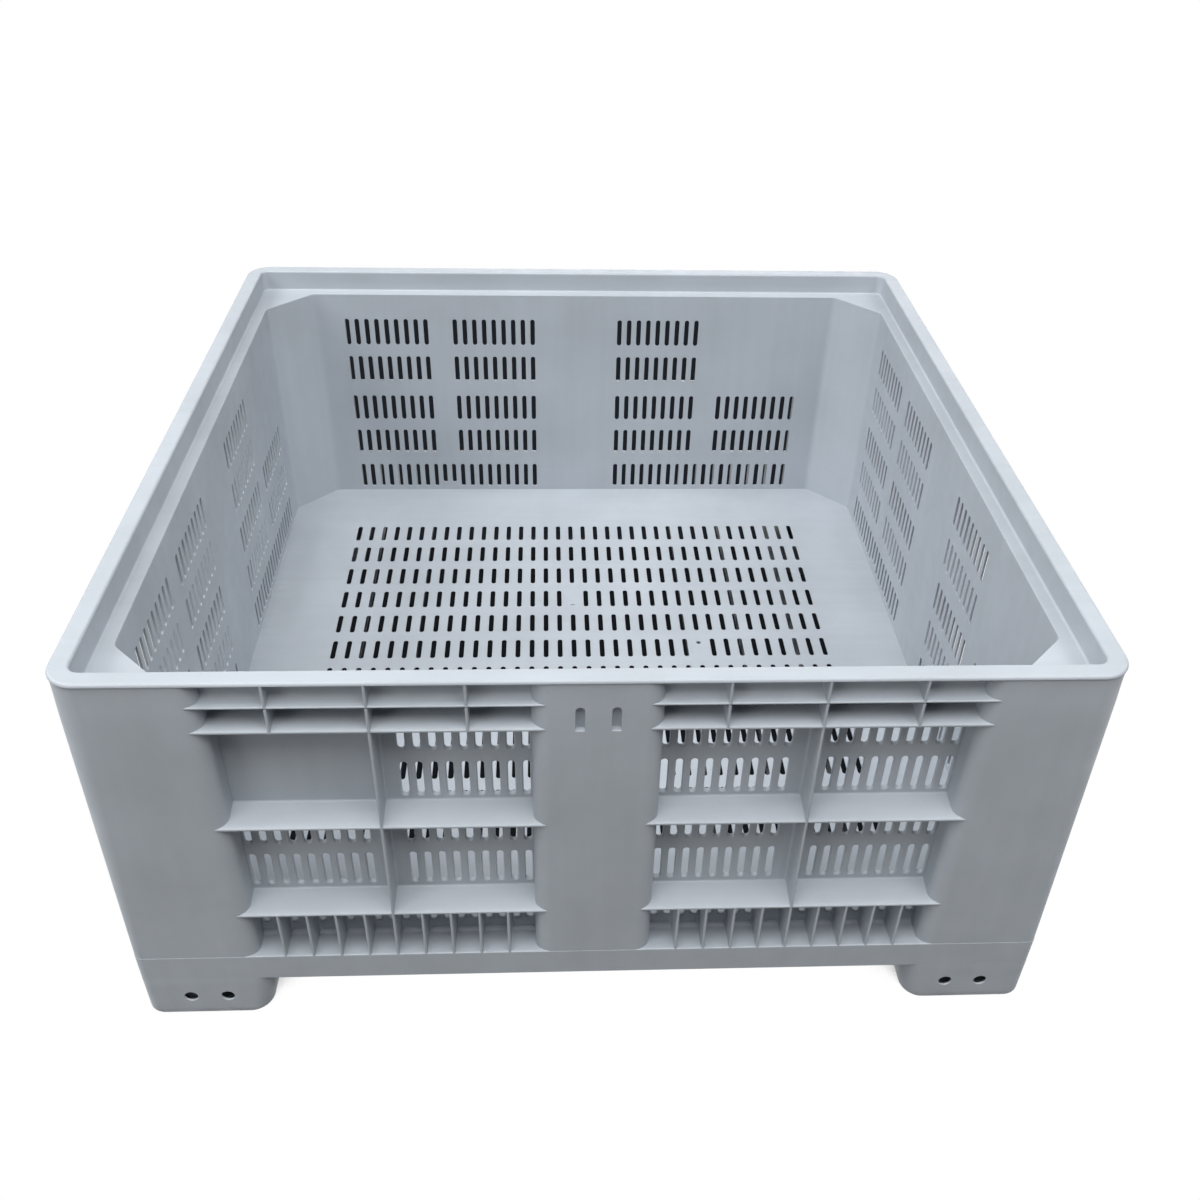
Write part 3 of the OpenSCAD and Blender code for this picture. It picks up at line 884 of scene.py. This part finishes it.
def make_floor():
    """Plain pale floor, white for camera rays, with painted shadow: darker where ambient occlusion finds
    the bin near, and a painted dark patch where the bin stands over it.
    """
    half = FLOOR_HALF_MM
    corners = [(-half, -half, 0), (half, -half, 0), (half, half, 0), (-half, half, 0)]
    floor = mesh_object("floor", corners, [(0, 1, 2, 3)])
    material = bpy.data.materials.new("pale floor, painted shadow")
    nodes, links = node_tree(material)
    output = nodes.new("ShaderNodeOutputMaterial")
    shade = nodes.new("ShaderNodeAmbientOcclusion")
    shade.inputs["Distance"].default_value = SHADE_REACH
    shade.samples = SHADE_SAMPLES
    place = nodes.new("ShaderNodeTexCoord")
    split = nodes.new("ShaderNodeSeparateXYZ")
    links.new(place.outputs["Object"], split.inputs[0])

    def fade(source, limits, low, high):
        """Soft step from low to high as source goes from the first limit to the second."""
        node = nodes.new("ShaderNodeMapRange")
        node.interpolation_type = "SMOOTHSTEP"
        names = ("From Min", "From Max", "To Min", "To Max")
        for name, value in zip(names, (*limits, low, high)):
            node.inputs[name].default_value = value
        links.new(source, node.inputs["Value"])
        return node.outputs["Result"]

    # Painted shadow: a dark patch over the bin's footprint, growing from the front and fading at the sides
    # and rear, taken off the occlusion
    along = split.outputs["Y"]
    sides = fade(math_node(nodes, links, "ABSOLUTE", split.outputs["X"]), PAINTED_SHADOW_SIDES, 1.0, 0.0)
    under = math_node(nodes, links, "MULTIPLY", sides, fade(along, PAINTED_SHADOW_REAR, 1.0, 0.0))
    under = math_node(nodes, links, "MULTIPLY", under, fade(along, PAINTED_SHADOW_FRONT, 0.0, PAINTED_SHADOW_DEPTH))
    unshaded_share = math_node(nodes, links, "SUBTRACT", shade.outputs["AO"], under)
    ramp = nodes.new("ShaderNodeValToRGB")
    dark, light = ramp.color_ramp.elements
    dark.position, dark.color = SHADE_FULL, SHADE_COLOUR
    light.position, light.color = SHADE_NONE, WHITE
    links.new(unshaded_share, ramp.inputs["Fac"])
    glow = nodes.new("ShaderNodeEmission")
    links.new(ramp.outputs["Color"], glow.inputs["Color"])
    matt = nodes.new("ShaderNodeBsdfDiffuse")
    matt.inputs["Color"].default_value = FLOOR_COLOUR
    mix_shaders(nodes, links, seen_directly(nodes, links), matt, glow, output)
    floor.data.materials.append(material)


def make_shade_sheet():
    """Dark sheet behind the rear wall: painted shade that darkens the view out through the slots, in place
    of the floor in the bin's shadow.

    It is seen from inside the bin only, and it takes no part in the lighting.
    """
    reach, low, high, behind = SHADE_SHEET_REACH_MM, SHADE_SHEET_LOW_MM, FLANGE_Z, HALF + SHADE_SHEET_GAP_MM
    corners = [(-reach, behind, low), (reach, behind, low), (reach, behind, high), (-reach, behind, high)]
    shade_sheet = mesh_object("shade_sheet", corners, [(0, 1, 2, 3)])
    material = bpy.data.materials.new("painted shade sheet")
    nodes, links = node_tree(material)
    output = nodes.new("ShaderNodeOutputMaterial")
    geometry = nodes.new("ShaderNodeNewGeometry")
    dark = nodes.new("ShaderNodeEmission")
    dark.inputs["Color"].default_value = SHADE_SHEET_COLOUR
    clear = nodes.new("ShaderNodeBsdfTransparent")
    mix_shaders(nodes, links, geometry.outputs["Backfacing"], dark, clear, output)
    shade_sheet.data.materials.append(material)
    for ray in ("diffuse", "glossy", "transmission", "volume_scatter", "shadow"):
        setattr(shade_sheet, f"visible_{ray}", False)


def make_lamp(name, place, power):
    """Square soft box."""
    data = bpy.data.lights.new(name, "AREA")
    data.shape, data.size, data.energy = "SQUARE", LAMP_SIZE, power
    lamp = bpy.data.objects.new(name, data)
    bpy.context.scene.collection.objects.link(lamp)
    lamp.location = place
    lamp.rotation_euler = (Vector(LAMP_AIM) - Vector(place)).to_track_quat("-Z", "Y").to_euler()


def make_camera():
    """Camera at the photograph's angle."""
    pitch, yaw, roll = (math.radians(a) for a in (PITCH, YAW, ROLL))
    turn = np.array(Matrix.Rotation(yaw, 3, "Z"))
    right = turn @ np.array((1.0, 0.0, 0.0))
    ahead = turn @ np.array((0.0, math.cos(pitch), -math.sin(pitch)))
    down = turn @ np.array((0.0, -math.sin(pitch), -math.cos(pitch)))
    across = math.cos(roll) * right + math.sin(roll) * down
    below = -math.sin(roll) * right + math.cos(roll) * down
    data = bpy.data.cameras.new("camera")
    data.sensor_width = SENSOR_MM
    data.lens = FOCAL / PHOTO_SIZE * SENSOR_MM
    data.shift_x = (PHOTO_SIZE / 2 - CENTRE_X) / PHOTO_SIZE
    data.shift_y = (CENTRE_Y - PHOTO_SIZE / 2) / PHOTO_SIZE
    camera = bpy.data.objects.new("camera", data)
    bpy.context.scene.collection.objects.link(camera)
    axes = np.column_stack((across, -below, -ahead))
    camera.matrix_world = Matrix.Translation(CAMERA_PLACE) @ Matrix(axes.tolist()).to_4x4()
    bpy.context.scene.camera = camera


materials = {
    "wall_plastic": plastic("wall plastic", UP_STREAKS),
    "rib_plastic": plastic("rib plastic", LONG_STREAKS),
    "post_plastic": plastic("post plastic", UP_STREAKS),
    "rim_plastic": plastic("rim plastic", LONG_STREAKS),
    "floor_plastic": plastic("floor plastic", LONG_STREAKS),
    "base_plastic": plastic("base plastic", UP_STREAKS),
}

# Pieces of the four sides
side_pieces = {
    "panel": (panel_shape(), "wall_plastic"),
    "flange": (flange_shape(), "rib_plastic"),
    "shelf": (shelf_shape(), "rib_plastic"),
    "ribs": (ribs_shape(), "rib_plastic"),
    "grille": (grille_shape(), "rib_plastic"),
    "pillar": (pillar_shape(), "post_plastic"),
}
pockets = Shape().loft(label_cutter(LABEL_SET)).loft(label_cutter(-LABEL_SET))
for piece, (shape, slot) in side_pieces.items():
    for k, side in enumerate(SIDES):
        obj = mesh_object(f"{side}_{piece}_moulding", on_side(shape.verts, k), shape.faces)
        if piece == "pillar":
            cut(obj, on_side(pockets.verts, k), pockets.faces)
        finish_piece(obj, f"{side}_{piece}", slot)

# Pieces of the four corners
corner_pieces = {
    "post": (post_shape(), "post_plastic"),
    "web": (web_shape(), "wall_plastic"),
    "foot": (foot_shape(), "base_plastic"),
}
holes = Shape()
for x in (HOLE_SET - HOLE_PITCH / 2, HOLE_SET + HOLE_PITCH / 2):
    holes.loft(hole_cutter(x))
    holes.loft([[(b, a, z) for a, b, z in loop] for loop in hole_cutter(x)])
for piece, (shape, slot) in corner_pieces.items():
    for c, corner in enumerate(CORNERS):
        obj = mesh_object(f"{corner}_{piece}_moulding", at_corner(shape.verts, c), shape.faces)
        if piece == "foot":
            cut(obj, at_corner(holes.verts, c), holes.faces)
        finish_piece(obj, f"{corner}_{piece}", slot)

# Pieces that run round or across the bin
for node, shape, slot in (
    ("rim_lip", rim_shape(), "rim_plastic"),
    ("ledge", ledge_shape(), "rim_plastic"),
    ("floor_deck", deck_shape(), "floor_plastic"),
    ("base_frame", base_shape(), "base_plastic"),
):
    finish_piece(mesh_object(f"{node}_moulding", shape.verts, shape.faces), node, slot)

# The ribs under the floor keep their CAD shape
floor_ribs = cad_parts["floor_ribs"]
floor_ribs.data.materials.clear()
floor_ribs.data.materials.append(materials["base_plastic"])

make_world()
for name, (place, power) in LAMPS.items():
    make_lamp(name, place, power)
make_floor()
make_shade_sheet()
make_camera()
bpy.context.scene.view_settings.view_transform = "Standard"
